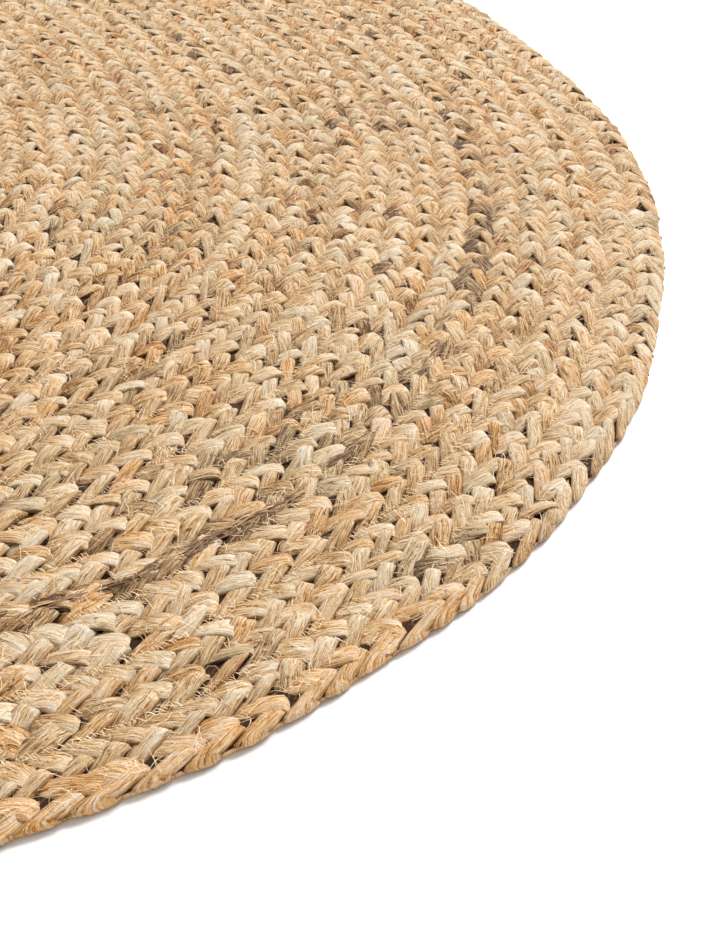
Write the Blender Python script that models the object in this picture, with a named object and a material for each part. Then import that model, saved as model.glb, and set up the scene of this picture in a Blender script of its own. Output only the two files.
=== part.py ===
"""Oval jute rug, 1.5 m by 2 m: two flat plaits wound side by side and sewn row to row.

Both plaits start in the middle of the rug, one at each end of a short straight core,
and wind round it together in the same direction, like a double spiral.  A row always
lies one plait's width outside the row before it, so the rug has straight rows in the
middle and a full oval at the rim, where each plait's end is narrowed and tucked in.
The solid here is that coil: every row is a low ridge, the seams between rows are
grooves, and the underside is flat.
"""
import math

import bmesh
import bpy

# Driving dimensions, in metres.
ROW_WIDTH = 0.02143         # width of one sewn row of plait
TURNS = 17.42               # turns of each plait, from the core to its tucked end
CORE_HALF_LENGTH = 0.26     # half of the straight core that the first rows follow
RIM_ROUNDNESS = 0.16        # how far the rim has bellied out from straight sides
THICKNESS = 0.009           # a row at its crest
SEAM_DEPTH = 0.0022         # groove between two rows
RIM_TOP = 0.0055            # height at which the outer row turns down
RIM_WALL_BOTTOM = 0.0025    # height at which the rim starts to draw in
RIM_UNDERCUT = 0.0025       # how far the rim draws in to the floor
TAIL_LENGTH = 0.45          # each plait's end narrows over this length
NOSE_TURNS = 0.04           # each plait's start rises to full height over these turns

STATIONS = 56               # stations round one turn
STATION_BUNCHING = 0.23     # more stations at the two ends, where the oval bends most
PLAIT_STARTS = (-0.25, 0.25)  # where each plait starts, in turns from the +X side
SHARP_ANGLE = math.radians(40)
WELD = 1e-5

# Slow unevenness of the hand-sewn rim.
RIM_WAVES = (
    # waves in a turn, height in metres, heading of a crest in degrees
    (7, 0.0019, -66.0),
    (3, 0.0006, 20.0),
    (11, 0.0005, -20.0),
)

OBJECT_NAME = "oval_jute_rug"
NODE_NAME = "braided_rug"
JUTE_COLOR = (0.56, 0.40, 0.22, 1.0)
JUTE_ROUGHNESS = 0.85

GROWTH = 2 * ROW_WIDTH      # a turn adds one row of each plait
RIM_REACH = GROWTH * TURNS


def clear_scene():
    """Start from an empty scene."""
    for item in list(bpy.data.objects):
        bpy.data.objects.remove(item, do_unlink=True)


def heading(turn):
    """Direction in which the rows face outwards this far round, in radians."""
    return math.tau * turn - STATION_BUNCHING * math.sin(2 * math.tau * turn) / 2


def rim_wave(angle, reach):
    """How far a row at this reach wanders out of the true oval."""
    wander = 0.0
    for waves, height, crest in RIM_WAVES:
        wander += height * math.cos(waves * (angle - math.radians(crest)))
    return wander * (reach / RIM_REACH) ** 3


def oval_point(angle, reach):
    """Point of the oval that lies this reach outside the core, facing this heading.

    Rows near the core have straight sides and round ends.  Rows further out belly
    into a fuller oval, yet stay one reach away from the core at sides and ends.
    """
    belly = RIM_ROUNDNESS * reach / RIM_REACH
    long_half = CORE_HALF_LENGTH + belly
    across, along = math.cos(angle), math.sin(angle)
    support = math.hypot(belly * across, long_half * along)
    slide = 0.0
    if support > WELD:
        slide = (long_half ** 2 - belly ** 2) * across * along / support
    out = support + reach - belly + rim_wave(angle, reach)
    return (out * across - slide * along, out * along + slide * across)


def rim_length():
    """Length of one turn at the rim."""
    steps = 90
    points = [oval_point(heading(step / steps), RIM_REACH) for step in range(steps + 1)]
    return sum(math.dist(a, b) for a, b in zip(points, points[1:]))


TAIL_TURNS = TAIL_LENGTH / rim_length()


def fullness(turn):
    """Width of a plait here, as a part of the whole: its tail narrows to nothing."""
    left = (TURNS - turn) / TAIL_TURNS
    return math.sin(min(max(left, 0.0), 1.0) * math.pi / 2)


def row_section(start, turn):
    """The three points across one row: inner seam, crest, and outer seam or rim.

    For its first half turn a plait has only the core inside it.
    """
    angle = heading(start + turn)
    middle = GROWTH * turn
    full = fullness(turn)
    inner = middle - ROW_WIDTH / 2 if turn >= 0.5 else 0.0
    crest = middle - ROW_WIDTH / 2 * (1 - full)
    outer = middle + ROW_WIDTH * (full - 0.5)
    seam = THICKNESS - SEAM_DEPTH
    crest_rise = SEAM_DEPTH * min(full, turn / NOSE_TURNS)
    rim_drop = (seam - RIM_TOP) * full if turn > TURNS - 0.5 else 0.0
    return (
        (*oval_point(angle, inner), seam),
        (*oval_point(angle, crest), seam + crest_rise),
        (*oval_point(angle, outer), seam - rim_drop),
    )


def wind_plait(bm, start):
    """Wind one plait from its start at the core to the tip of its tail."""
    last = int(TURNS * STATIONS)
    turns = [station / STATIONS for station in range(last + 1)] + [TURNS]
    strip = [[bm.verts.new(point) for point in row_section(start, turn)]
             for turn in turns]
    for near, far in zip(strip, strip[1:]):
        for inner, outer in ((0, 1), (1, 2)):
            bm.faces.new((near[inner], near[outer], far[outer], far[inner]))


def drop_rim(bm):
    """Turn the rim down and under, and close the flat underside."""
    loop = [edge for edge in bm.edges if edge.is_boundary]
    for drawn_in, height in ((0.0, RIM_WALL_BOTTOM), (RIM_UNDERCUT, 0.0)):
        made = bmesh.ops.extrude_edge_only(bm, edges=loop)["geom"]
        verts = [item for item in made if isinstance(item, bmesh.types.BMVert)]
        loop = [edge for edge in made
                if isinstance(edge, bmesh.types.BMEdge) and edge.is_boundary]
        for vert in verts:
            kept = 1 - drawn_in / math.hypot(vert.co.x, vert.co.y)
            vert.co.x *= kept
            vert.co.y *= kept
            vert.co.z = height
    bmesh.ops.contextual_create(bm, geom=loop)


def center_on_floor(mesh):
    """Put the middle of the rug's box at the origin; its underside is at z = 0."""
    for axis in (0, 1):
        values = [vert.co[axis] for vert in mesh.vertices]
        middle = (min(values) + max(values)) / 2
        for vert in mesh.vertices:
            vert.co[axis] -= middle


def jute_material():
    """Undyed jute: a matt golden straw colour."""
    material = bpy.data.materials.new("jute")
    material.use_nodes = True
    shader = material.node_tree.nodes["Principled BSDF"]
    shader.inputs["Base Color"].default_value = JUTE_COLOR
    shader.inputs["Roughness"].default_value = JUTE_ROUGHNESS
    shader.inputs["Metallic"].default_value = 0.0
    return material


def make_rug():
    """The two coiled and sewn plaits, as one closed solid."""
    bm = bmesh.new()
    for start in PLAIT_STARTS:
        wind_plait(bm, start)
    bmesh.ops.remove_doubles(bm, verts=bm.verts, dist=WELD)
    drop_rim(bm)
    bmesh.ops.recalc_face_normals(bm, faces=bm.faces)
    mesh = bpy.data.meshes.new(NODE_NAME)
    bm.to_mesh(mesh)
    bm.free()
    center_on_floor(mesh)
    mesh.materials.append(jute_material())
    mesh.shade_smooth()
    mesh.set_sharp_from_angle(angle=SHARP_ANGLE)
    return bpy.data.objects.new(NODE_NAME, mesh)


def main():
    clear_scene()
    collection = bpy.data.collections.new(OBJECT_NAME)
    bpy.context.scene.collection.children.link(collection)
    collection.objects.link(make_rug())


main()
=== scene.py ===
"""Looks of the oval jute rug: two three-strand plaits wound side by side and sewn together."""

import math

import bpy
import numpy as np
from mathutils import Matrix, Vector


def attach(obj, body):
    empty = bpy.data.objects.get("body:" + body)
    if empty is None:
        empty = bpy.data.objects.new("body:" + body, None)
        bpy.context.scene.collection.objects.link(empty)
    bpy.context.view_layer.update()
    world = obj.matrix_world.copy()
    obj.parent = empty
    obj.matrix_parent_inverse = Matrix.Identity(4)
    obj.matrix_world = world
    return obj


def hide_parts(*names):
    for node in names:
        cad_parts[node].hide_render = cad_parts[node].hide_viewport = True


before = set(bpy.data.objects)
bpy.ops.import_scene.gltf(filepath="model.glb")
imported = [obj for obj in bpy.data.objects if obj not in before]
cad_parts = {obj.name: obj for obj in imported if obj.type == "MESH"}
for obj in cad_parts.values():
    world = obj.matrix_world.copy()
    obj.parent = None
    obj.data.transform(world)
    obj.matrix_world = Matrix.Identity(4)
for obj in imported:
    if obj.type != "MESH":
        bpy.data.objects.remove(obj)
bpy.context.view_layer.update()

# ---------------------------------------------------------------- values, lengths in metres
# The winding, as in the CAD
ROW_WIDTH = 0.02143
TURNS = 17.42
CORE_HALF_LENGTH = 0.26
RIM_ROUNDNESS = 0.16
STATION_BUNCHING = 0.23
TAIL_LENGTH = 0.45
GROWTH = 2 * ROW_WIDTH
RIM_REACH = GROWTH * TURNS
# Points in one turn of a plait, and straight steps in which the rim's length is measured
SAMPLES_PER_TURN = 3000
RIM_STEPS = 90
# From here on a plait has no row outside it, so its outer edge is the rim
RIM_START = TURNS - 0.5

# Waves of the rim: how many in a turn, height, heading of a crest in degrees
RIM_WAVES = ((7, 0.0019, -66.0), (3, 0.0006, 20.0), (11, 0.0005, -20.0))
# Short dips of the rim, too fine for the CAD: heading and spread in degrees, depth
RIM_DIPS = (
    (-75.0, 4.5, 0.0040),
    (-91.0, 5.0, 0.0046),
    (-58.0, 2.0, 0.0014),
    (-45.0, 2.0, 0.0012),
    (-9.0, 8.0, 0.0030),
)
# Where sewing has crowded rows outward or left them behind: heading and spread in degrees, share of a
# row, and over how many rows in from the rim it builds up
ROW_DRIFTS = ((-82.0, 24.0, 0.45, 5.0), (-30.0, 14.0, -0.20, 2.0))
# Rows nearer the core than this drift less
DRIFT_REACH = 0.25
# Sewing also pushes everything about by this much, over this length
WANDER = 0.0014
WANDER_LENGTH = 0.055

# The looser and the tighter plait: where each starts, in turns, and its length from arm to arm
PLAIT_START = {"loose": -0.25, "tight": 0.25}
PITCH = {"loose": 1.07 * ROW_WIDTH, "tight": 0.87 * ROW_WIDTH}
# How unevenly each was drawn: drift of its crossings, jitter from arm to arm, and its seed
CROSSING_DRIFT = {"loose": 0.016, "tight": 0.009}
CROSSING_JITTER = {"loose": 0.0014, "tight": 0.0009}
CROSSING_SEED = {"loose": 11, "tight": 12}
# That drift changes over this length; a smaller one, the same in both, changes faster
DRIFT_LENGTH = 0.31
QUICK_DRIFT = 0.005
QUICK_DRIFT_LENGTH = 0.10
# Arms of the three strands come over from both edges in turn and meet in the middle, at these slants in
# degrees from the row and this far outward of its middle line
OUTER_SLANT = {"loose": 27.0, "tight": 31.0}
INNER_SLANT = {"loose": 33.0, "tight": 40.0}
RIM_SLANT = 23.0
MEETING = {"loose": -0.0006, "tight": 0.0012}
# Distances from a row's middle line: its edge, and where the shift of the meeting line fades out
EDGE = 0.0107
SHOULDER = 0.0104
# The same at the rug's own edge: where arms turn to lie along it, and how far they may bulge
RIM_FOLD = 0.0082
RIM_LIMIT = 0.0105
# There an arm's rings turn from lying along the edge, 0, to their usual way, 1: ring and share
RIM_TURNING = ((0, 0.0), (2, 0.1), (4, 1.0))
# No arm comes nearer the floor than this, or starts nearer than this to its plait's end
LOWEST = 0.0006
END_MARGIN = 0.02

# One visible arm, ring by ring: distance from the row's middle line on its own side, height of its
# core, half depth, which way its face leans along the arm (0 is back, 90 is up, 180 is ahead) and
# share of its full width
ARM_RINGS = (
    (0.0130, 0.0010, 0.0018, 46.0, 1.06),
    (0.0119, 0.0027, 0.0021, 56.0, 1.12),
    (0.0104, 0.0041, 0.0022, 64.0, 1.15),
    (0.0083, 0.0053, 0.0022, 72.0, 1.15),
    (0.0057, 0.0064, 0.0022, 81.0, 1.14),
    (0.0029, 0.0072, 0.0022, 91.0, 1.11),
    (0.0002, 0.0073, 0.0021, 106.0, 1.05),
    (-0.0012, 0.0046, 0.0017, 126.0, 0.97),
)
# At the rug's own edge an arm turns over instead, lying along the edge
RIM_RINGS = (
    (0.0074, 0.0022, 0.0020, -35.0, 0.85),
    (0.0082, 0.0040, 0.0022, 2.0, 0.98),
    (0.0083, 0.0055, 0.0022, 40.0, 1.04),
    (0.0074, 0.0063, 0.0022, 66.0, 1.06),
) + ARM_RINGS[4:]
# An arm's cross-section goes this many degrees down each flank; a lower bluntness makes it boxier
ARCH = 112.0
BLUNTNESS = 0.55
RIM_BLUNTNESS = 1.0
BLUNTNESS_LIMITS = (0.36, 1.2)
# How much arms differ, as standard deviations: first in degrees, then in metres at the tip, then as
# shares, and the bluntness in itself
SLANT_SPREAD = 3.0
ROLL_SPREAD = 7.0
TIP_SPREAD = 0.0007
HEIGHT_SPREAD = 0.00045
WIDTH_SPREAD = 0.08
TAPER_SPREAD = 0.08
DEPTH_SPREAD = 0.10
BLUNTNESS_SPREAD = 0.12
# How uneven one arm is: lengthways grooves, as a share of its depth, and fine roughness
GROOVES = 0.09
ROUGHNESS = 0.00010

# The near part of the rug, beyond x = NEAR_SIDE + NEAR_SLOPE * y and short of NEAR_END, has finer meshes
# and more loose fibres than the rest, the far part
NEAR_SIDE = 0.21
NEAR_SLOPE = 0.27
NEAR_END = 0.20
# Rings and columns of one arm's mesh, and length of plait for each stray hair and each stitch
ARM_GRID = {"near": (10, 8), "far": (7, 5)}
STRAY_SPACING = {"near": 0.0017, "far": 0.0360}
STITCH_SPACING = {"near": 0.0019, "far": 0.0160}

# How pale and how red an arm is, from 0 to 1: usual value and spread from arm to arm
PALE = 0.506
PALE_SPREAD = 0.060
RED = 0.50
RED_SPREAD = 0.17
# Each strand also changes slowly along its length: how much, and over what length
PALE_CHANGES = ((0.11, 0.22), (0.05, 0.80))
RED_CHANGE = (0.22, 0.16)
SHADE_SEED = {"loose": 30, "tight": 40}
# Shares of the arms that are much darker and much redder than the rest, and what that means
DARK_SHARE = 0.012
DARK_DROP = 0.30
REDDEST_SHARE = 0.018
REDDEST = 1.1
# Painted light: the rug is painted paler towards its end at low y, and the painted light and shade along
# each arm is stronger away from it: y and value
END_PAINTED_LIGHT = ((-1.0, 0.050), (-0.88, 0.022), (-0.78, 0.0), (-0.53, -0.024))
TIP_LIGHT_STRENGTH = ((-0.75, 1.0), (-0.40, 1.75))
# Painted light along an arm: painted shade where it comes over the row's edge, painted highlight towards
# its tip: share of its length, and what is added to pale
TIP_PAINTED_LIGHT = ((0.0, -0.13), (0.55, -0.01), (1.0, 0.17))
RIM_PALING = 0.035
PALEST = 0.66
# A stretch of the rim is evenly golden: the heading of its middle, and the cosine of how far it
# reaches to either side
GOLDEN_HEADING = math.radians(-84.0)
GOLDEN_COSINE = 0.97
# There pale is drawn in to a share of its distance from one value and put about another
GOLDEN_FROM = 0.56
GOLDEN_TO = 0.53
GOLDEN_SHARE = 0.35
# There the painted light and shade along each arm is this strong
GOLDEN_TIP_LIGHT_STRENGTH = 0.4
GOLDEN_REDDENING = 0.50
GOLDEN_LEAST_RED = 0.92

# Runs of darker yarn: how pale they are before they are darkened, how red, and how much both vary
RUN_PALE = 0.50
RUN_PALE_SPREAD = 0.05
RUN_RED = 0.20
RUN_RED_SPREAD = 0.12
# Plait, first and last turn, which strand, how much darker
DARK_RUNS = (
    ("loose", 13.975, 14.050, 0, 0.31),
    ("loose", 14.050, 14.100, 0, 0.13),
    ("loose", 14.100, 14.200, 0, 0.30),
    ("loose", 13.975, 14.045, 1, 0.25),
    ("loose", 14.110, 14.150, 1, 0.20),
    ("loose", 13.010, 13.080, 2, 0.24),
    ("loose", 13.030, 13.060, 1, 0.12),
    ("tight", 13.545, 13.575, 1, 0.24),
    ("tight", 10.515, 10.560, 0, 0.20),
    ("tight", 11.640, 11.648, 0, 0.40),
    ("tight", 11.690, 11.700, 1, 0.48),
    ("tight", 12.640, 12.650, 1, 0.40),
    ("tight", 12.685, 12.693, 2, 0.44),
    ("tight", 16.545, 16.556, 2, 0.30),
    ("tight", 9.730, 9.742, 1, 0.34),
    ("loose", 14.225, 14.238, 1, 0.30),
)

# Torn dark shreds lying along the loose plait: first and last turn, outward at both ends, how many
DARK_SHREDS = (
    (14.003, 14.017, -0.0070, 0.0005, 80),
    (14.014, 14.041, 0.0005, 0.0015, 150),
    (14.040, 14.049, 0.0050, 0.0070, 30),
    (14.055, 14.066, 0.0045, 0.0020, 45),
    (14.084, 14.094, -0.0005, 0.0010, 40),
)

# Loose fibres: points along one, how much its width tapers, and its length on its map
FIBRE_POINTS = 4
FIBRE_TAPER = 0.6
FIBRE_MAP_LENGTH = 0.01
# Hairs: how far they keep from a plait's ends, how far out they lie, and how far where they keep off the
# rug's own edge
STRAY_MARGIN = 0.1
STRAY_REACH = 0.0105
STRAY_RIM_REACH = 0.0030
STRAY_RIM_START = TURNS - 0.55
# Height of hairs and of shreds over a row's middle line, and how much lower they lie at its edge
STRAY_TOP = 0.0099
SHRED_TOP = 0.0098
EDGE_DROP = 0.0034
# The sewn seam starts this far along the loose plait, ends here, and leaves out stitches in places
SEAM_START = 0.5
SEAM_END = 0.3
LAST_STITCH = TURNS - 0.52
GAP_LENGTH = 0.05
GAP_LEVEL = -0.45

# Camera, measured from the middle of the rug; angles in degrees, lens in millimetres
CAMERA_PLACE = (-0.0523, -1.3692, 0.4556)
CAMERA_AZIMUTH = 27.84
CAMERA_DROP = 36.40
CAMERA_LENS = 50.6
SENSOR_WIDTH = 36.0

# A wide floor, even daylight and one large lamp
FLOOR_HALF = 9.0
DAYLIGHT = 0.62
SOFTBOX_PLACE = (7.5, 2.3, 8.9)
SOFTBOX_AIM = (0.1, -0.3, 0.0)
SOFTBOX_SIZE = 5.8
SOFTBOX_POWER = 2150.0

# Random values for smooth noise along a line, and along each side of a square of the floor
NOISE_CELLS = 4096
GROUND_CELLS = 128

rng = np.random.default_rng(20)


# ---------------------------------------------------------------- winding
def heading(turn):
    """Direction that the rim faces, bunched so that the straight sides get their share of stations."""
    return math.tau * turn - STATION_BUNCHING * np.sin(2 * math.tau * turn) / 2


def nearness(angle, middle, spread):
    """One at a heading, falling off to nothing within about twice the spread, both in degrees."""
    apart = 1 - np.cos(angle - math.radians(middle))
    return np.exp(-2 * apart / math.radians(spread) ** 2)


def rim_wave(angle, reach):
    """Slow unevenness of the outline, which dies out towards the middle."""
    wander = 0.0
    for waves, height, crest in RIM_WAVES:
        wander = wander + height * np.cos(waves * (angle - math.radians(crest)))
    for middle, spread, depth in RIM_DIPS:
        wander = wander - depth * nearness(angle, middle, spread)
    return wander * (reach / RIM_REACH) ** 3


def oval_point(angle, reach):
    """Point of the oval at this reach from the core, where its edge faces along angle."""
    belly = RIM_ROUNDNESS * reach / RIM_REACH
    long_half = CORE_HALF_LENGTH + belly
    across = np.cos(angle)
    along = np.sin(angle)
    support = np.maximum(np.hypot(belly * across, long_half * along), 1e-9)
    slide = (long_half**2 - belly**2) * across * along / support
    out = support + reach - belly + rim_wave(angle, reach)
    return out * across - slide * along, out * along + slide * across


def row_drift(angle, reach):
    """How far a row's edge has been sewn outward of its even place."""
    rows = (RIM_REACH - reach) / ROW_WIDTH
    drift = 0.0
    for middle, spread, share, depth in ROW_DRIFTS:
        drift = drift + share * nearness(angle, middle, spread) * np.clip(rows / depth, 0, 1)
    return ROW_WIDTH * drift * np.clip(reach / DRIFT_REACH, 0, 1)


def rim_length():
    """Length of one turn at the rim."""
    x, y = oval_point(heading(np.linspace(0, 1, RIM_STEPS + 1)), RIM_REACH)
    return np.hypot(np.diff(x), np.diff(y)).sum()


class Plait:
    """Middle line of one plait, with its outward direction and half width, by length along it."""

    def __init__(self, name):
        self.name = name
        self.pitch = PITCH[name]
        self.turn = np.linspace(0.0, TURNS, int(TURNS * SAMPLES_PER_TURN))
        self.angle = heading(PLAIT_START[name] + self.turn)
        middle = GROWTH * self.turn
        left = (TURNS - self.turn) / (TAIL_LENGTH / rim_length())
        full = np.sin(np.clip(left, 0.0, 1.0) * math.pi / 2)
        # for its first half turn a plait has only the core inside it
        inner = np.where(self.turn < 0.5, 0.0, middle - ROW_WIDTH / 2)
        outer = middle + ROW_WIDTH * (full - 0.5)
        inner = inner + row_drift(self.angle, inner)
        outer = outer + row_drift(self.angle, outer)
        self.half = (outer - inner) / 2
        self.x, self.y = oval_point(self.angle, (outer + inner) / 2)
        self.edge = np.stack(oval_point(self.angle, outer))
        steps = np.hypot(np.diff(self.x), np.diff(self.y))
        self.along = np.concatenate([[0.0], np.cumsum(steps)])
        self.length = self.along[-1]

    def turn_at(self, along):
        """How many turns in a length along the plait lies."""
        return np.interp(along, self.along, self.turn)

    def angle_at(self, along):
        """Heading of the row's outer edge there."""
        return np.interp(along, self.along, self.angle)

    def at(self, local):
        """World points from points given as (length along the plait, distance outward, height)."""
        along, outward, height = np.moveaxis(local, -1, 0)
        angle = self.angle_at(along)
        squeeze = np.interp(along, self.along, self.half) / (ROW_WIDTH / 2)
        x = np.interp(along, self.along, self.x) + outward * squeeze * np.cos(angle)
        y = np.interp(along, self.along, self.y) + outward * squeeze * np.sin(angle)
        shift_x = WANDER * ground_noise(x, y, WANDER_LENGTH, seed=3)
        shift_y = WANDER * ground_noise(x, y, WANDER_LENGTH, seed=4)
        return np.stack([x + shift_x, y + shift_y, height], axis=-1)


def recentre(plaits):
    """Moves both plaits so that the rim's box is centred on the origin, as the CAD is."""
    edges = np.concatenate([plait.edge for plait in plaits], axis=1)
    middle = (edges.min(axis=1) + edges.max(axis=1)) / 2
    for plait in plaits:
        plait.x = plait.x - middle[0]
        plait.y = plait.y - middle[1]


def in_part(plait, along, part):
    """Which lengths along a plait lie in the near or the far part of the rug."""
    x = np.interp(along, plait.along, plait.x)
    y = np.interp(along, plait.along, plait.y)
    near = (x > NEAR_SIDE + NEAR_SLOPE * y) & (y < NEAR_END)
    return near if part == "near" else ~near


# ---------------------------------------------------------------- noise
def cell_of(value):
    """The lattice cell that a value lies in, and how far into it, eased at both ends."""
    low = np.floor(value).astype(int)
    part = value - low
    return low, part * part * (3 - 2 * part)


def smooth_noise(at, length, seed):
    """Smooth random wander between -1 and 1, with a new value about every length."""
    lattice = np.random.default_rng(seed).uniform(-1, 1, NOISE_CELLS)
    low, ease = cell_of(at / length)
    return lattice[low % NOISE_CELLS] * (1 - ease) + lattice[(low + 1) % NOISE_CELLS] * ease


def ground_noise(x, y, length, seed):
    """Smooth random wander between -1 and 1 over the floor plane."""
    lattice = np.random.default_rng(seed).uniform(-1, 1, (GROUND_CELLS, GROUND_CELLS))
    i, u = cell_of(x / length + GROUND_CELLS / 2)
    j, v = cell_of(y / length + GROUND_CELLS / 2)
    near = lattice[i, j] * (1 - u) + lattice[i + 1, j] * u
    far = lattice[i, j + 1] * (1 - u) + lattice[i + 1, j + 1] * u
    return near * (1 - v) + far * v


# ---------------------------------------------------------------- meshes
# On the map of all grids: room of a ring against that of a column, and margins round each grid
RING_ROOM = 0.5
MARGIN_U = 0.06
MARGIN_V = 0.04


def vectors(x, y, z):
    """Vectors from three arrays or numbers that broadcast together."""
    return np.stack(np.broadcast_arrays(x, y, z), axis=-1).astype(float)


def look_up(table, at):
    """Values between the rows of a table of (place, value)."""
    return np.interp(at, *zip(*table))


def grid_piece(name, points, across, along, yarn, material):
    """One joined mesh of many small grids: points is (grids, rings, columns, 3)."""
    grids, rings, columns = points.shape[:3]
    count = grids * rings * columns
    index = np.arange(count).reshape(grids, rings, columns)
    corners = (index[:, :-1, :-1], index[:, 1:, :-1], index[:, 1:, 1:], index[:, :-1, 1:])
    quads = np.stack(corners, axis=-1).reshape(-1, 4)
    mesh = bpy.data.meshes.new(name)
    mesh.vertices.add(count)
    mesh.vertices.foreach_set("co", points.astype(np.float32).ravel())
    mesh.loops.add(quads.size)
    mesh.loops.foreach_set("vertex_index", quads.astype(np.int32).ravel())
    mesh.polygons.add(len(quads))
    mesh.polygons.foreach_set("loop_start", np.arange(0, quads.size, 4, dtype=np.int32))
    mesh.update(calc_edges=True)
    mesh.shade_smooth()
    strand = np.stack([np.broadcast_to(values, index.shape) for values in (across, along)], axis=-1)
    add_map(mesh, "Strand", strand.reshape(-1, 2)[quads.ravel()])
    add_map(mesh, "OFBake", atlas(grids, rings, columns).reshape(-1, 2)[quads.ravel()])
    tint = mesh.color_attributes.new("Yarn", "FLOAT_COLOR", "POINT")
    tint.data.foreach_set("color", yarn.astype(np.float32).reshape(-1))
    mesh.materials.append(material)
    piece = bpy.data.objects.new(name, mesh)
    bpy.context.scene.collection.objects.link(piece)
    return piece


def add_map(mesh, name, corners):
    """A UV map from its values at every face corner."""
    layer = mesh.uv_layers.new(name=name, do_init=False)
    layer.uv.foreach_set("vector", corners.astype(np.float32).ravel())


def atlas(grids, rings, columns):
    """A place of its own for every grid on one square map."""
    across = max(1, math.ceil(math.sqrt(grids * RING_ROOM * rings / columns)))
    down = math.ceil(grids / across)
    number = np.arange(grids)
    left = (number % across)[:, None, None]
    low = (number // across)[:, None, None]
    u = (left + np.linspace(MARGIN_U, 1 - MARGIN_U, columns)[None, None, :]) / across
    v = (low + np.linspace(MARGIN_V, 1 - MARGIN_V, rings)[None, :, None]) / down
    return np.stack(np.broadcast_arrays(u, v), axis=-1)


def yarn_values(shape, pale, red, own):
    """For each vertex: how pale, how red, and its arm's or fibre's own number."""
    out = np.ones(shape + (4,))
    out[..., 0] = pale
    out[..., 1] = red[:, None, None]
    out[..., 2] = own[:, None, None]
    return out


# ---------------------------------------------------------------- strands
def warp(plait, even):
    """Lengths along the plait where evenly numbered crossings really fall: looser here, tighter there."""
    seed = CROSSING_SEED[plait.name]
    drift = CROSSING_DRIFT[plait.name] * smooth_noise(even, DRIFT_LENGTH, seed)
    return even + drift + QUICK_DRIFT * smooth_noise(even, QUICK_DRIFT_LENGTH, seed + 5)


def arm_starts(plait, side):
    """Where each arm on this side turns over the row's edge, its number, and the length to the next."""
    first = 0.75 if side < 0 else 0.25
    count = int((plait.length - END_MARGIN) / plait.pitch)
    number = np.arange(count)
    start = warp(plait, (number + first) * plait.pitch)
    start = start + CROSSING_JITTER[plait.name] * rng.normal(0, 1, count)
    return start, number, np.gradient(start)


def strand_of(number, side):
    """Which of the three strands an arm belongs to."""
    return (number - (1 if side < 0 else 0)) % 3


def usual_slant(plait, side, at_rim):
    """Angle in degrees between this kind of arm and its row."""
    if at_rim:
        return RIM_SLANT
    return OUTER_SLANT[plait.name] if side > 0 else INNER_SLANT[plait.name]


def arm_points(plait, side, start, spacing, at_rim, grid):
    """Surface points of the arms that come over the edge at these lengths, and lengths along each arm.

    All vectors are (along the row, outward, up); an arm runs ahead and towards the row's middle.
    """
    rings, columns = grid
    ring = np.linspace(0, len(ARM_RINGS) - 1, rings)
    table = zip(*(RIM_RINGS if at_rim else ARM_RINGS))
    out, height, depth, lean, width = (np.interp(ring, range(len(column)), column) for column in table)
    # a row of random numbers for each way in which arms differ; the third and the last are spare
    jitter = rng.normal(0, 1, (10, len(start), 1))
    slanted, shifted, _, raised, widened, deepened, rolled, tapered, blunted, _ = jitter
    towards_tip = np.linspace(0, 1, rings)
    slant = np.radians(usual_slant(plait, side, at_rim) + SLANT_SPREAD * slanted)
    out = out + side * MEETING[plait.name] * np.clip(1 - out / SHOULDER, 0, 1)
    out = out + TIP_SPREAD * shifted * towards_tip
    along = start[:, None] + (EDGE - (np.minimum(out, RIM_FOLD) if at_rim else out)) / np.tan(slant)
    height = height + HEIGHT_SPREAD * raised * towards_tip
    taper = 1 + TAPER_SPREAD * tapered * np.linspace(-1, 1, rings)
    half = spacing[:, None] / 2 * width * (1 + WIDTH_SPREAD * widened) * taper
    depth = depth * (1 + DEPTH_SPREAD * deepened)
    lean = np.radians(lean)
    face, wide = arm_axes(side, slant, lean, np.radians(ROLL_SPREAD * rolled), half)
    if at_rim:
        face, wide = lay_along_rim(side, ring, lean, half, face, wide)
    turn, swell = arm_section(side, columns, RIM_BLUNTNESS if at_rim else BLUNTNESS, blunted)
    centre = vectors(along, side * out, height)
    sideways = wide[:, :, None] * np.sin(turn)[:, None]
    upward = (face * depth[..., None])[:, :, None] * swell[:, None, :, None]
    local = centre[:, :, None] + sideways + upward
    local = local + rng.normal(0, ROUGHNESS, local.shape)
    local[..., 2] = np.maximum(local[..., 2], LOWEST)
    if at_rim:
        local[..., 1] = np.minimum(local[..., 1], RIM_LIMIT)
    return local, lengths_along(centre)


def lengths_along(centre):
    """Length along each arm at each of its rings."""
    steps = np.linalg.norm(np.diff(centre, axis=1), axis=-1)
    return np.concatenate([np.zeros((len(centre), 1)), np.cumsum(steps, axis=1)], axis=1)


def arm_axes(side, slant, lean, roll, half):
    """Which way the face of each ring of an arm looks, and half the ring's width as a vector."""
    tilt = -np.cos(lean)
    face = vectors(tilt * np.cos(slant), -side * tilt * np.sin(slant), np.sin(lean))
    thin = half * np.sin(slant)
    wide = vectors(thin * np.sin(slant), side * thin * np.cos(slant), thin * np.sin(roll))
    return face, wide


def lay_along_rim(side, ring, lean, half, face, wide):
    """The same two for an arm whose first rings lie along the rug's edge and face outward."""
    usual = look_up(RIM_TURNING, ring)[:, None]
    outward = vectors(0.0, side * np.cos(lean), np.sin(lean))
    face = face * usual + outward * (1 - usual)
    wide = wide * usual + vectors(half, 0.0, 0.0) * (1 - usual)
    return face, wide


def arm_section(side, columns, bluntness, blunted):
    """Angle from the crest of each column of a ring, and how far each arm swells there."""
    turn = np.radians(np.linspace(-ARCH, ARCH, columns)) * -side
    bluntness = np.clip(bluntness + BLUNTNESS_SPREAD * blunted, *BLUNTNESS_LIMITS)
    swell = np.sign(np.cos(turn)) * np.abs(np.cos(turn)) ** bluntness
    return turn, swell + rng.normal(0, GROOVES, swell.shape)


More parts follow.
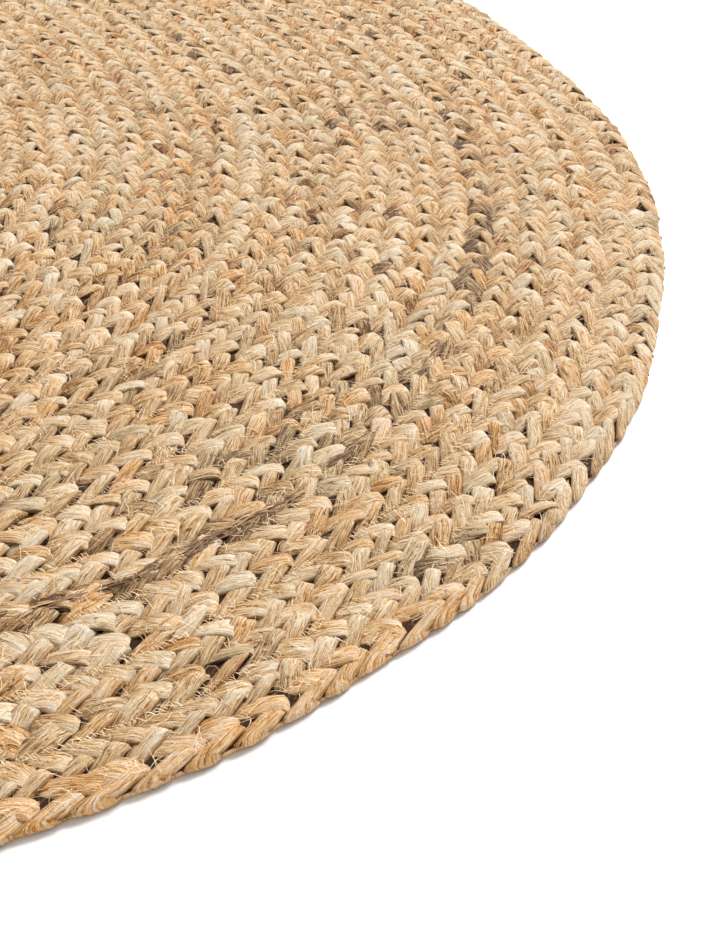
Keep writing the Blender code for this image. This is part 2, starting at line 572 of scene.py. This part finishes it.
def plait_arms(plait, side, part, material, name):
    """A piece with every arm of one side of a plait, in one part of the rug."""
    start, number, spacing = arm_starts(plait, side)
    keep = in_part(plait, start, part)
    start, number, spacing = start[keep], number[keep], spacing[keep]
    rim = (plait.turn_at(start) > RIM_START) & (side > 0)
    grid = ARM_GRID[part]
    # arms on the rug's own edge have rings of their own
    inside, travel = arm_points(plait, side, start[~rim], spacing[~rim], False, grid)
    edge, edge_travel = arm_points(plait, side, start[rim], spacing[rim], True, grid)
    start, number = (np.concatenate([values[~rim], values[rim]]) for values in (start, number))
    points = plait.at(np.concatenate([inside, edge]))
    along = start[:, None] + np.concatenate([travel, edge_travel])
    yarn = yarn_tint(plait, start, strand_of(number, side), points.shape[:3])
    return grid_piece(name, points, np.linspace(0, 1, grid[1]), along[..., None], yarn, material)


def strand_change(start, strand, amount, length, seed):
    """Slow change of shade along each of the three strands."""
    change = np.zeros(len(start))
    for k in range(3):
        own = strand == k
        change[own] = amount * smooth_noise(start[own], length, seed + k)
    return change


def strand_shades(plait, start, strand):
    """How pale and how red each arm is, before the shades of single places."""
    seed = SHADE_SEED[plait.name]
    quick, slow = (
        strand_change(start, strand, *change, seed + 3 * i) for i, change in enumerate(PALE_CHANGES)
    )
    pale = quick + slow + (rng.normal(0, PALE_SPREAD, len(start)) + PALE)
    red = strand_change(start, strand, *RED_CHANGE, seed + 6)
    red = red + (rng.normal(0, RED_SPREAD, len(start)) + RED)
    odd = rng.uniform(0, 1, len(start))
    pale[odd < DARK_SHARE] -= DARK_DROP
    red[(odd > DARK_SHARE) & (odd < DARK_SHARE + REDDEST_SHARE)] = REDDEST
    return pale, red


def darken_runs(plait, turn, strand, pale, red):
    """Makes the runs of darker yarn, in place."""
    for name, low, high, dark, depth in DARK_RUNS:
        if name == plait.name:
            run = (turn > low) & (turn < high) & (strand == dark)
            pale[run] = RUN_PALE - depth + rng.normal(0, RUN_PALE_SPREAD, run.sum())
            red[run] = RUN_RED + rng.normal(0, RUN_RED_SPREAD, run.sum())


def yarn_tint(plait, start, strand, shape):
    """Colour of every vertex of these arms, painted light and shade included."""
    turn = plait.turn_at(start)
    pale, red = strand_shades(plait, start, strand)
    darken_runs(plait, turn, strand, pale, red)
    rim = turn > RIM_START
    golden = rim & (np.cos(plait.angle_at(start) - GOLDEN_HEADING) > GOLDEN_COSINE)
    y = np.interp(start, plait.along, plait.y)
    pale[rim] += RIM_PALING
    # painted light: paler towards the end at low y, darker beyond
    pale += look_up(END_PAINTED_LIGHT, y)
    pale[golden] = GOLDEN_TO + GOLDEN_SHARE * (pale[golden] - GOLDEN_FROM)
    pale = np.minimum(pale, PALEST)
    red[golden] = np.maximum(red[golden] + GOLDEN_REDDENING, GOLDEN_LEAST_RED)
    # how strong the painted light and shade along each arm is, by y
    contrast = look_up(TIP_LIGHT_STRENGTH, y)
    contrast[golden] = GOLDEN_TIP_LIGHT_STRENGTH
    # painted shade where each arm comes over the row's edge, painted highlight towards its tip
    tip = look_up(TIP_PAINTED_LIGHT, np.linspace(0, 1, shape[1]))
    pale = pale[:, None, None] + contrast[:, None, None] * tip[None, :, None]
    return yarn_values(shape, pale, red, rng.uniform(0, 1, len(start)))


# ---------------------------------------------------------------- loose fibres
def ribbons(plait, material, name, *, along, outward, height, aim, length, bend, lift, width, pale):
    """One joined mesh of thin curved fibres lying on a plait; every value has one entry a fibre.

    Aim is a fibre's angle from the plait's direction, bend is the angle that it turns through, and lift
    is how much its middle rises.
    """
    share = np.linspace(0, 1, FIBRE_POINTS)
    angle = aim[:, None] + bend[:, None] * (share - 0.5)
    x = np.cumsum(np.cos(angle), axis=1) * length[:, None] / (FIBRE_POINTS - 1)
    y = np.cumsum(np.sin(angle), axis=1) * length[:, None] / (FIBRE_POINTS - 1)
    x = along[:, None] + x - x.mean(axis=1, keepdims=True)
    y = outward[:, None] + y - y.mean(axis=1, keepdims=True)
    z = height[:, None] + lift[:, None] * (np.sin(share * math.pi) - 0.5)
    breadth = width[:, None] * (1.0 - FIBRE_TAPER * np.abs(share - 0.5))
    edge = vectors(-np.sin(angle), np.cos(angle), 0.0) * breadth[..., None]
    middle = vectors(x, y, z)
    points = plait.at(np.stack([middle + edge / 2, middle - edge / 2], axis=2))
    red = rng.uniform(0.2, 0.8, len(along))
    own = rng.uniform(0, 1, len(along))
    yarn = yarn_values(points.shape[:3], pale[:, None, None], red, own)
    lengthways = (share * FIBRE_MAP_LENGTH)[None, :, None]
    return grid_piece(name, points, np.linspace(0, 1, 2), lengthways, yarn, material)


def height_over_row(outward, top):
    """Height of a fibre on the arms, this far from the row's middle line."""
    return top - EDGE_DROP * (np.abs(outward) / EDGE) ** 1.5


def stray_fibres(plait, part, material, name):
    """Hairs that stand off the strands, lying every way over them."""
    count = int(plait.length / STRAY_SPACING[part])
    along = rng.uniform(STRAY_MARGIN, plait.length - STRAY_MARGIN, count)
    along = along[in_part(plait, along, part)]
    count = len(along)
    exposed = plait.turn_at(along) > STRAY_RIM_START
    outward = rng.uniform(-STRAY_REACH, np.where(exposed, STRAY_RIM_REACH, STRAY_REACH), count)
    return ribbons(
        plait,
        material,
        name,
        along=along,
        outward=outward,
        height=height_over_row(outward, STRAY_TOP) + rng.normal(0, 0.0004, count),
        aim=rng.choice((-1, 1), count) * rng.normal(math.radians(50), math.radians(35), count),
        length=rng.gamma(3.0, 0.0022, count) + 0.002,
        bend=rng.normal(0, 1.0, count),
        lift=rng.uniform(0.0002, 0.0020, count),
        width=rng.uniform(0.00014, 0.00032, count),
        pale=rng.normal(0.62, 0.16, count),
    )


def stitches(plait, part, material, name):
    """Sewing fibres that cross every second seam like the teeth of a comb."""
    along = np.arange(SEAM_START, plait.length - SEAM_END, STITCH_SPACING[part])
    along = along[in_part(plait, along, part)]
    along = along[smooth_noise(along, GAP_LENGTH, seed=60) > GAP_LEVEL]
    along = along[plait.turn_at(along) < LAST_STITCH]
    count = len(along)
    lean = rng.normal(66.0, 14.0, count)
    return ribbons(
        plait,
        material,
        name,
        along=along + rng.normal(0, 0.0004, count),
        outward=EDGE + rng.normal(0, 0.0007, count),
        height=rng.normal(0.0078, 0.0003, count),
        aim=np.radians(lean),
        length=rng.uniform(0.0035, 0.0066, count),
        bend=rng.normal(0, 0.22, count),
        lift=rng.uniform(0.0005, 0.0012, count),
        width=rng.uniform(0.00026, 0.00042, count),
        pale=rng.normal(0.60, 0.08, count),
    )


def dark_shreds(plait, material, name):
    """Long dark shreds that make a streak along one row."""
    along = []
    outward = []
    for low, high, start, end, count in DARK_SHREDS:
        share = rng.uniform(0, 1, count)
        along.append(np.interp(low + (high - low) * share, plait.turn, plait.along))
        outward.append(start + (end - start) * share + rng.normal(0, 0.0014, count))
    outward = np.concatenate(outward)
    count = len(outward)
    return ribbons(
        plait,
        material,
        name,
        along=np.concatenate(along),
        outward=outward,
        height=height_over_row(outward, SHRED_TOP) + rng.normal(0, 0.0003, count),
        aim=rng.normal(math.radians(4), math.radians(11), count),
        length=rng.uniform(0.006, 0.018, count),
        bend=rng.normal(0, 0.35, count),
        lift=rng.uniform(0.0001, 0.0008, count),
        width=rng.uniform(0.0004, 0.0011, count),
        pale=rng.normal(0.17, 0.10, count),
    )


# ---------------------------------------------------------------- bed
BED_STATIONS = 1550
# Section of the bed: share of its half width, and height
BED_SECTION = (
    (-1.00, 0.0022),
    (-1.00, 0.0042),
    (-0.55, 0.0055),
    (0.55, 0.0055),
    (1.00, 0.0042),
    (1.00, 0.0022),
    (0.72, 0.0008),
    (0.0, 0.0002),
    (-0.72, 0.0008),
    (-1.00, 0.0022),
)
BED_HALF_WIDTH = ROW_WIDTH / 2 - 0.0004
# How far out the bed goes where its edge is the rug's own, and how far short of a plait's end it stops
BED_RIM_LIMIT = 0.0078
BED_END = 0.004
# Stations lie closer in bends: this length counts as much as this turn
BED_LENGTH_STEP = 0.060
BED_ANGLE_STEP = math.radians(7.5)


def bed(plaits, material):
    """A thin closed strip inside each plait, joined: its top fills the gaps between arms with painted
    shade, and it makes the underside.
    """
    share, up = np.array(BED_SECTION).T
    out = share * BED_HALF_WIDTH
    strips = []
    lengths = []
    for plait in plaits:
        pace = plait.along / BED_LENGTH_STEP + (plait.angle - plait.angle[0]) / BED_ANGLE_STEP
        end = np.interp(plait.length - BED_END, plait.along, pace)
        along = np.interp(np.linspace(pace[0], end, BED_STATIONS), pace, plait.along)[:, None]
        exposed = plait.turn_at(along) > RIM_START
        strips.append(plait.at(vectors(along, np.where(exposed, np.minimum(out, BED_RIM_LIMIT), out), up)))
        lengths.append(along)
    points = np.stack(strips)
    yarn = np.ones(points.shape[:3] + (4,))
    return grid_piece("bed", points, out / ROW_WIDTH + 0.5, np.stack(lengths), yarn, material)


# ---------------------------------------------------------------- materials
def linear(colour):
    """Linear colour with alpha from sRGB numbers up to 255."""
    parts = []
    for value in colour:
        share = value / 255
        parts.append(share / 12.92 if share <= 0.04045 else ((share + 0.055) / 1.055) ** 2.4)
    return (*parts, 1.0)


class Shader:
    """A new material and short ways to add nodes to it; a value is a number, a colour or a socket."""

    def __init__(self, name, roughness, specular=0.5):
        self.material = bpy.data.materials.new(name)
        self.material.use_nodes = True
        self.surface = self.material.node_tree.nodes["Principled BSDF"]
        self.surface.inputs["Roughness"].default_value = roughness
        self.surface.inputs["Specular IOR Level"].default_value = specular

    def feed(self, socket, value):
        """Links another node's socket to this input, or sets a number or a colour there."""
        if isinstance(value, bpy.types.NodeSocket):
            self.material.node_tree.links.new(value, socket)
        else:
            socket.default_value = value

    def add(self, kind, **values):
        """A node of this kind with some of its properties set."""
        node = self.material.node_tree.nodes.new(kind)
        for key, value in values.items():
            setattr(node, key, value)
        return node

    def maths(self, operation, *values, clamp=False):
        """Result of a Math node."""
        node = self.add("ShaderNodeMath", operation=operation, use_clamp=clamp)
        for socket, value in zip(node.inputs, values):
            self.feed(socket, value)
        return node.outputs[0]

    def rise(self, value, steepness, start):
        """A straight slope over a value, kept between 0 and 1."""
        return self.maths("MULTIPLY_ADD", value, steepness, start, clamp=True)

    def from_middle(self, value):
        """How far a value is from a half."""
        return self.maths("ABSOLUTE", self.maths("SUBTRACT", value, 0.5))

    def swing(self, value, contrast):
        """A value from 0 to 1 made to swing about zero, by the contrast in all."""
        return self.maths("MULTIPLY_ADD", value, contrast, -contrast / 2)

    def combine(self, *values):
        """A vector from three values."""
        node = self.add("ShaderNodeCombineXYZ")
        for socket, value in zip(node.inputs, values):
            self.feed(socket, value)
        return node.outputs[0]

    def split(self, vector):
        """The three parts of a vector."""
        node = self.add("ShaderNodeSeparateXYZ")
        self.feed(node.inputs[0], vector)
        return tuple(node.outputs)

    def strand_map(self):
        """Place on a strand: across it from 0 to 1, and along it in metres, as one vector."""
        return self.add("ShaderNodeUVMap", uv_map="Strand").outputs["UV"]

    def yarn(self):
        """How pale and how red the yarn is, and its own number."""
        return self.split(self.add("ShaderNodeAttribute", attribute_name="Yarn").outputs["Vector"])

    def upward(self):
        """How much the surface faces up, from -1 to 1."""
        return self.split(self.add("ShaderNodeNewGeometry").outputs["Normal"])[2]

    def noise(self, vector, detail, rough=0.5, scale=1.0):
        """Smooth noise from 0 to 1."""
        node = self.add("ShaderNodeTexNoise")
        node.inputs["Scale"].default_value = scale
        node.inputs["Detail"].default_value = detail
        node.inputs["Roughness"].default_value = rough
        self.feed(node.inputs["Vector"], vector)
        return node.outputs["Fac"]

    def fibres(self, across, along, seed, layer):
        """Noise stretched along the fibres of an arm; layer holds cells an arm, cells a metre, detail."""
        fineness, shortness, detail = layer
        sideways = self.maths("MULTIPLY", across, fineness)
        lengthways = self.maths("MULTIPLY_ADD", along, shortness, seed)
        return self.noise(self.combine(sideways, lengthways, seed), detail, rough=0.65)

    def ridge(self, value, width):
        """One along the line where a noise is at its middle value, falling to nothing beside it."""
        return self.rise(self.from_middle(value), -1 / width, 1.0)

    def ramp(self, factor, stops):
        """A colour ramp; each stop is (position, colour in sRGB from 0 to 255)."""
        node = self.add("ShaderNodeValToRGB")
        elements = node.color_ramp.elements
        while len(elements) < len(stops):
            elements.new(0.5)
        for element, (position, colour) in zip(elements, stops):
            element.position = position
            element.color = linear(colour)
        self.feed(node.inputs["Fac"], factor)
        return node.outputs["Color"]

    def mix(self, factor, a, b):
        """Colour between two others."""
        node = self.add("ShaderNodeMix", data_type="RGBA")
        sockets = [socket for socket in node.inputs if socket.enabled]
        for socket, value in zip(sockets, (factor, a, b)):
            self.feed(socket, value)
        return [socket for socket in node.outputs if socket.enabled][0]

    def paint(self, colour):
        """Gives the surface its colour."""
        self.feed(self.surface.inputs["Base Color"], colour)

    def bump(self, height, strength, distance):
        """Shades the surface as if it had this relief."""
        node = self.add("ShaderNodeBump")
        node.inputs["Strength"].default_value = strength
        node.inputs["Distance"].default_value = distance
        self.feed(node.inputs["Height"], height)
        self.feed(self.surface.inputs["Normal"], node.outputs[0])


# Layers of fibre on an arm: cells across the arm, cells in a metre along it, detail
FINE = (24.0, 80.0, 3.0)
BUNDLES = (7.0, 45.0, 1.0)
CRACKS = (15.0, 70.0, 1.0)
FLECKS = (4.0, 210.0, 1.0)
CRACK_WIDTH = 0.036
# How far the layers darken or lighten an arm, and how deep they are in the bump; the darkening of the
# cracks and of the flanks is painted shade
FINE_CONTRAST = 1.62
BUNDLE_CONTRAST = 0.50
CRACK_PAINTED_SHADE = -0.32
HAIR_SHADE = 0.31
FLECK_SHADE = -0.42
FLANK_PAINTED_SHADE = -0.30
BUNDLE_RELIEF = 0.6
CRACK_RELIEF = -0.5
HAIR_RELIEF = 0.5
# Fibres wander sideways by a share of an arm's width, in cells a metre, and run up to half of the last
# number askew either way, in arm widths a metre
FIBRE_WANDER = 0.16
FIBRE_WANDER_CELLS = 70.0
FIBRE_SKEW = 26.0
# The arms' own numbers are spread over this many cells of the noises
OWN_CELLS = 57.0
# Slopes, as steepness and start: flecks by their noise, the painted shade of the flanks by the distance
# from an arm's middle, and contrast by how level the surface is
FLECK_SLOPE = (9.0, -6.3)
FLANK_SLOPE = (6.2, -1.6)
LEVEL_SLOPE = (1.5, 0.30)
# Hairs that cross an arm askew: arm widths sideways in a metre, layer, width of the line
CROSSING_HAIRS = ((28.0, (19.0, 240.0, 1.0), 0.030), (-36.0, (17.0, 200.0, 1.0), 0.026))
# Colours of golden, dull and ruddy jute by tone, from shade to light
TONES = (0.00, 0.18, 0.38, 0.55, 0.75, 1.00)
JUTE_COLOURS = (
    ((67, 37, 12), (132, 86, 38), (189, 142, 88), (213, 176, 128), (224, 201, 166), (230, 221, 205)),
    ((70, 48, 36), (114, 87, 66), (174, 143, 98), (202, 174, 130), (218, 200, 170), (228, 221, 208)),
    ((81, 43, 18), (143, 90, 42), (198, 140, 72), (221, 174, 114), (227, 198, 165), (231, 217, 203)),
)
HAIR_COLOURS = (
    (0.0, (84, 58, 38)),
    (0.2, (142, 110, 80)),
    (0.4, (214, 172, 124)),
    (0.7, (244, 220, 180)),
    (1.0, (255, 246, 226)),
)
UNDERSIDE_COLOURS = (
    (0.0, (60, 42, 28)),
    (0.3, (168, 128, 88)),
    (0.6, (214, 174, 128)),
    (1.0, (240, 214, 174)),
)
# Painted shade for the bed's top, where it shows in the gaps between arms
HOLLOW_PAINTED_SHADE = ((0.3, (22, 12, 5)), (0.5, (50, 29, 13)), (0.7, (104, 70, 37)))
# Underside: how far its lozenges' sides slant, and cells of noise in one lozenge along and across
LOZENGE_SLANT = -1.3
LOZENGE_CELLS = (22.0, 8.0)
GRAIN_CELLS = 9.0
# What the lozenges' lumps and fibres give to the tone, as a share of each and a start; the lumps' part is
# painted shade, darker where one lozenge meets the next
LUMP_PAINTED_SHADE = (1.4, 0.12)
FIBRE_TONE = (0.6, -0.2)


def jute_material():
    """Bundles of jute fibre: fine lines along each strand, in straw, tan and brown."""
    shader = Shader("jute", roughness=0.62, specular=0.25)
    u, v, _ = shader.split(shader.strand_map())
    pale, red, own = shader.yarn()
    # each arm has its own place in every noise
    seed = shader.maths("MULTIPLY", own, OWN_CELLS)
    # fibres wander sideways, and run a little askew, differently in each arm
    cells = shader.maths("MULTIPLY", v, FIBRE_WANDER_CELLS)
    drift = shader.noise(shader.combine(cells, seed, 0.0), detail=1.0)
    skew = shader.maths("MULTIPLY", v, shader.swing(own, FIBRE_SKEW))
    across = shader.maths("ADD", shader.maths("MULTIPLY_ADD", drift, FIBRE_WANDER, u), skew)
    fine = shader.fibres(across, v, seed, FINE)
    bundle = shader.fibres(across, v, seed, BUNDLES)
    # cracks between fibre bundles: a groove in the bump, and painted shade in the colour
    crack = shader.ridge(shader.fibres(across, v, seed, CRACKS), CRACK_WIDTH)
    hair = crossing_hairs(shader, u, v, seed)
    # only the crests of this noise are flecks
    fleck = shader.fibres(across, v, shader.maths("ADD", seed, 9.0), FLECKS)
    fleck = shader.rise(fleck, *FLECK_SLOPE)
    # painted shade on the flanks, where one arm dives under the next
    painted_flank_shade = shader.rise(shader.from_middle(u), *FLANK_SLOPE)
    shade = shader.maths("ADD", shader.swing(fine, FINE_CONTRAST), shader.swing(bundle, BUNDLE_CONTRAST))
    # plainer on the rug's own upright edge
    level = shader.rise(shader.maths("ABSOLUTE", shader.upward()), *LEVEL_SLOPE)
    shade = shader.maths("MULTIPLY", shade, level)
    for layer, strength in (
        (crack, CRACK_PAINTED_SHADE),
        (hair, HAIR_SHADE),
        (fleck, FLECK_SHADE),
        (painted_flank_shade, FLANK_PAINTED_SHADE),
    ):
        shade = shader.maths("MULTIPLY_ADD", layer, strength, shade)
    shader.paint(jute_colour(shader, shader.maths("ADD", pale, shade, clamp=True), red))
    relief = fine
    for layer, depth in ((bundle, BUNDLE_RELIEF), (crack, CRACK_RELIEF), (hair, HAIR_RELIEF)):
        relief = shader.maths("MULTIPLY_ADD", layer, depth, relief)
    shader.bump(relief, strength=0.75, distance=0.0012)
    return shader.material


def crossing_hairs(shader, u, v, seed):
    """One along the hairs that cross an arm, either way, and nothing between them."""
    hairs = []
    for askew, layer, width in CROSSING_HAIRS:
        crossed = shader.maths("MULTIPLY_ADD", v, askew, u)
        hairs.append(shader.ridge(shader.fibres(crossed, v, seed, layer), width))
    return shader.maths("MAXIMUM", *hairs)


def jute_colour(shader, tone, red):
    """Golden jute at a middling red, dull below it and ruddy above it."""
    golden, dull, ruddy = (shader.ramp(tone, tuple(zip(TONES, colours))) for colours in JUTE_COLOURS)
    warm = shader.rise(red, 2.0, -1.0)
    cold = shader.rise(red, -2.0, 1.0)
    return shader.mix(warm, shader.mix(cold, golden, dull), ruddy)


def hair_material():
    """Single fibres, most of them pale."""
    shader = Shader("jute_hair", roughness=0.6, specular=0.25)
    pale = shader.yarn()[0]
    flecks = shader.noise(shader.strand_map(), detail=1.0, scale=400.0)
    tone = shader.maths("MULTIPLY_ADD", flecks, 0.3, shader.maths("SUBTRACT", pale, 0.15), clamp=True)
    shader.paint(shader.ramp(tone, HAIR_COLOURS))
    return shader.material


def bed_material():
    """The core of the plaits: painted shade where it shows in the gaps, plaited jute underneath."""
    shader = Shader("jute_bed", roughness=0.8, specular=0.2)
    across, along, _ = shader.split(shader.strand_map())
    off = shader.from_middle(across)
    # one lozenge of the plait after another, pointed in the middle of the row
    slant = shader.maths("MULTIPLY", off, LOZENGE_SLANT)
    phase = shader.maths("MULTIPLY_ADD", along, 1 / PITCH["loose"], slant)
    lozenge = shader.maths("FRACT", phase)
    lump = shader.maths("MULTIPLY", lozenge, shader.maths("SUBTRACT", 1.0, lozenge))
    lengthways = shader.maths("MULTIPLY", phase, LOZENGE_CELLS[0])
    sideways = shader.maths("MULTIPLY", off, LOZENGE_CELLS[1])
    place = shader.combine(lengthways, sideways, shader.maths("FLOOR", phase))
    fibres = shader.noise(place, detail=2.0)
    # painted shade: each lozenge darker at its ends, where it meets the next
    lump_shade = shader.maths("MULTIPLY_ADD", lump, *LUMP_PAINTED_SHADE)
    fibre_tone = shader.maths("MULTIPLY_ADD", fibres, *FIBRE_TONE)
    underside = shader.ramp(shader.maths("ADD", lump_shade, fibre_tone, clamp=True), UNDERSIDE_COLOURS)
    cells = shader.maths("MULTIPLY", phase, GRAIN_CELLS)
    grain = shader.noise(shader.combine(cells, off, 0.0), detail=3.0)
    hollow_shade = shader.ramp(grain, HOLLOW_PAINTED_SHADE)
    # painted shade on the top, plaited jute underneath
    upward = shader.maths("GREATER_THAN", shader.upward(), 0.5)
    shader.paint(shader.mix(upward, underside, hollow_shade))
    shader.bump(shader.maths("MULTIPLY_ADD", fibres, 0.12, lump), strength=1.0, distance=0.004)
    return shader.material


def floor_material():
    """A matt white studio floor."""
    shader = Shader("floor", roughness=0.9)
    shader.paint(linear((250, 250, 250)))
    return shader.material


# ---------------------------------------------------------------- stage
def floor():
    """The floor that the rug lies on."""
    mesh = bpy.data.meshes.new("floor")
    corners = [(x * FLOOR_HALF, y * FLOOR_HALF, 0) for x, y in ((-1, -1), (1, -1), (1, 1), (-1, 1))]
    mesh.from_pydata(corners, [], [(0, 1, 2, 3)])
    mesh.materials.append(floor_material())
    ground = bpy.data.objects.new("floor", mesh)
    bpy.context.scene.collection.objects.link(ground)


def lamp(name, place, aim, size, power):
    """A square softbox."""
    light = bpy.data.lights.new(name, "AREA")
    light.size = size
    light.energy = power
    holder = bpy.data.objects.new(name, light)
    holder.location = place
    holder.rotation_euler = (Vector(aim) - Vector(place)).to_track_quat("-Z", "Y").to_euler()
    bpy.context.scene.collection.objects.link(holder)


def daylight(strength):
    """Even white light from all round."""
    world = bpy.data.worlds.new("studio")
    world.use_nodes = True
    background = world.node_tree.nodes["Background"]
    background.inputs["Color"].default_value = (1.0, 1.0, 1.0, 1.0)
    background.inputs["Strength"].default_value = strength
    bpy.context.scene.world = world


def camera():
    """The camera, low beyond the end of the rug at low y and looking down over it."""
    data = bpy.data.cameras.new("camera")
    data.lens = CAMERA_LENS
    data.sensor_width = SENSOR_WIDTH
    data.clip_start = 0.01
    data.clip_end = 50.0
    azimuth = math.radians(CAMERA_AZIMUTH)
    drop = math.radians(CAMERA_DROP)
    level = math.cos(drop)
    ahead = Vector((math.sin(azimuth) * level, math.cos(azimuth) * level, -math.sin(drop)))
    holder = bpy.data.objects.new("camera", data)
    holder.location = CAMERA_PLACE
    holder.rotation_euler = ahead.to_track_quat("-Z", "Y").to_euler()
    bpy.context.scene.collection.objects.link(holder)
    bpy.context.scene.camera = holder


# ---------------------------------------------------------------- build
loose = Plait("loose")
tight = Plait("tight")
recentre((loose, tight))
jute = jute_material()
hair = hair_material()
pieces = []
for plait in (loose, tight):
    for side, side_name in ((1, "outer"), (-1, "inner")):
        for part in ("near", "far"):
            pieces.append(plait_arms(plait, side, part, jute, f"{plait.name}_{side_name}_{part}"))
for plait in (loose, tight):
    for part in ("near", "far"):
        pieces.append(stray_fibres(plait, part, hair, f"{plait.name}_strays_{part}"))
for part in ("near", "far"):
    pieces.append(stitches(loose, part, hair, f"stitches_{part}"))
pieces.append(dark_shreds(loose, hair, "dark_shreds"))
base = bed((loose, tight), bed_material())
for piece in [*pieces, base]:
    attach(piece, "root")
    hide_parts("braided_rug")

floor()
daylight(DAYLIGHT)
lamp("softbox", SOFTBOX_PLACE, SOFTBOX_AIM, SOFTBOX_SIZE, SOFTBOX_POWER)
camera()
bpy.context.scene.view_settings.view_transform = "Standard"
